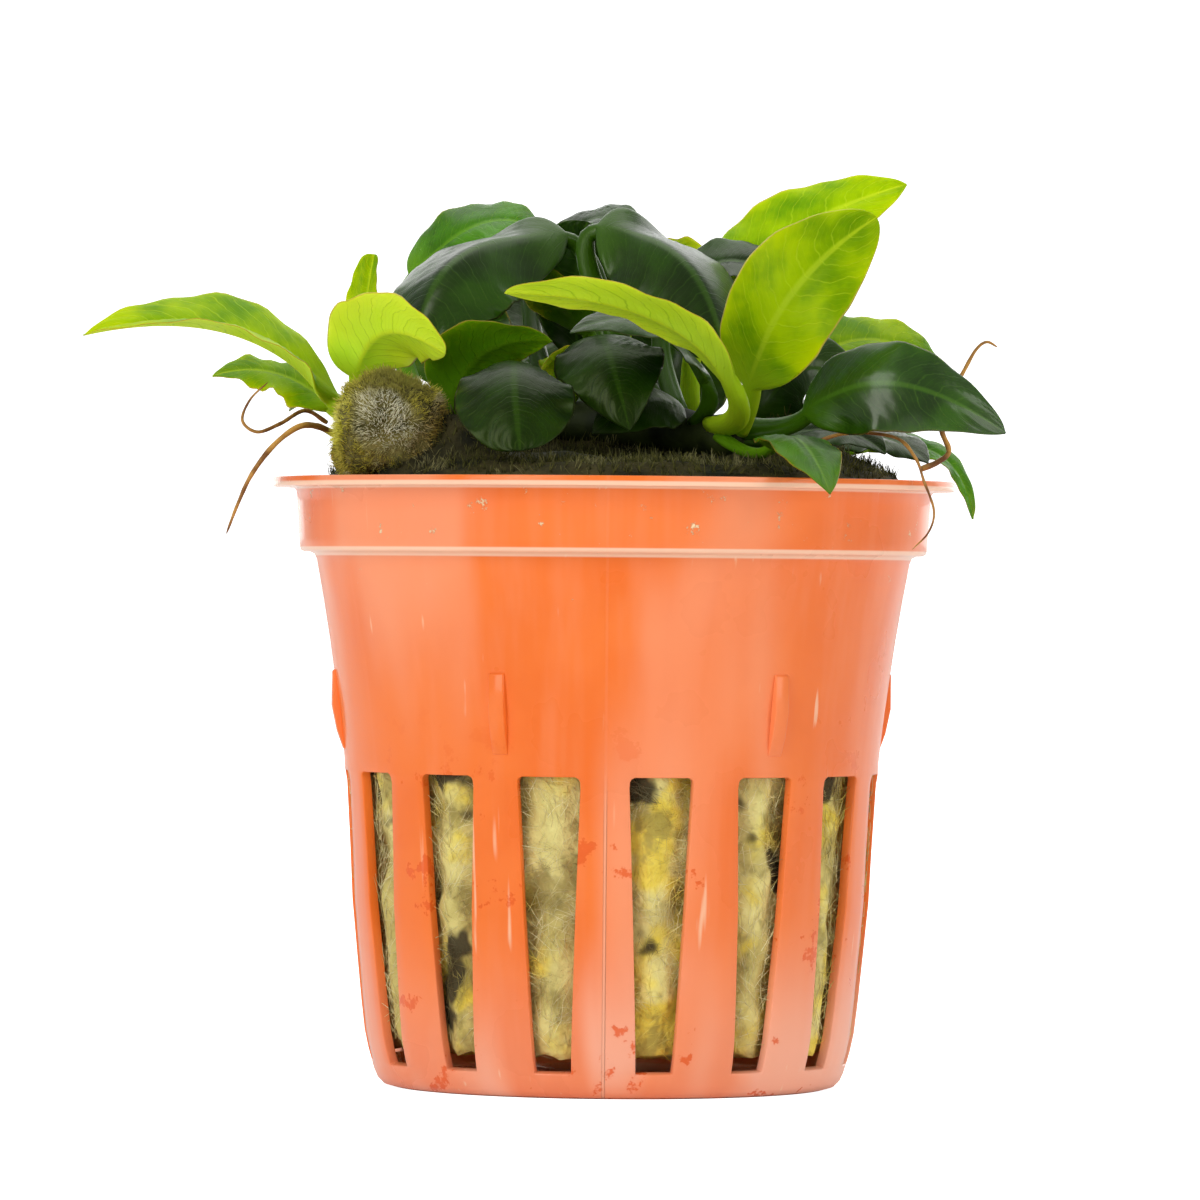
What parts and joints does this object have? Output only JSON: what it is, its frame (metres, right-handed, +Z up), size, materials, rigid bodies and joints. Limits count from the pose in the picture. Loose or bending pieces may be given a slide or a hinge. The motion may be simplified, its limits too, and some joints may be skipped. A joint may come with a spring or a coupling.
{
  "type": "dwarf anubias on a mossy stone in a slotted plastic net pot with rock wool",
  "caption": "Small broad-leaved water plant on a mossy stone, growing out of a slotted round plastic net pot packed with rock wool.",
  "frame": {"origin": "centre of the pot's flat foot", "axes": "+Z up out of the pot, -Y towards the front of the plant, where the tall bright leaves lean to +X"},
  "size_m": [0.0739, 0.0561, 0.0742],
  "materials": {
    "pot_plastic": "moulded terracotta-orange plastic, satin, a little translucent, with fine scratches and lime specks",
    "rock_wool": "damp felted mineral fibre, olive yellow",
    "moss": "low dark olive moss with pale grey dry tips",
    "stone": "rough and damp",
    "rhizome": "smooth green creeping stem",
    "root": "fine orange-brown root",
    "leaf_mature": "dark green, wet and glossy",
    "leaf_green": "mid green, leathery, semi-gloss",
    "leaf_young": "bright yellow-green, thin and translucent, pale veins"
  },
  "bodies": {
    "root": {"net_pot": "pot_plastic", "rock_wool_plug": "rock_wool", "moss_bed": "moss", "moss_cap": "moss", "stone": "stone", "rhizome_main": "rhizome", "rhizome_side_shoot": "rhizome", "root_left_hanging": "root", "root_left_curled": "root", "root_left_down": "root", "root_right_hanging": "root", "root_right_rising": "root", "root_back_left": "root", "root_back_right": "root", "leaf_left_long": "leaf_young", "leaf_left_low": "leaf_young", "leaf_left_small": "leaf_green", "leaf_upright_young": "leaf_young", "leaf_front_left_cupped": "leaf_young", "leaf_front_left_green": "leaf_green", "leaf_top_left_dark": "leaf_mature", "leaf_top_left_back": "leaf_green", "leaf_top_middle_back": "leaf_mature", "leaf_top_middle_wet": "leaf_mature", "leaf_top_right_dark": "leaf_mature", "leaf_inner_left": "leaf_green", "leaf_inner_low": "leaf_mature", "leaf_inner_bright": "leaf_young", "leaf_front_dark": "leaf_mature", "leaf_front_hanging": "leaf_mature", "leaf_front_black": "leaf_mature", "leaf_front_band": "leaf_mature", "leaf_bright_arching": "leaf_young", "leaf_bright_large": "leaf_young", "leaf_bright_back": "leaf_young", "leaf_right_back": "leaf_young", "leaf_right_large": "leaf_mature", "leaf_right_inner": "leaf_mature", "leaf_right_over_rim": "leaf_green", "leaf_right_under": "leaf_mature", "leaf_right_low_grey": "leaf_mature", "leaf_right_past_rim": "leaf_green", "leaf_back_left": "leaf_green", "leaf_back_middle": "leaf_mature", "leaf_back_upright": "leaf_mature", "leaf_back_right": "leaf_mature", "leaf_back_low": "leaf_mature", "leaf_back_bright": "leaf_young"}
  },
  "joints": []
}
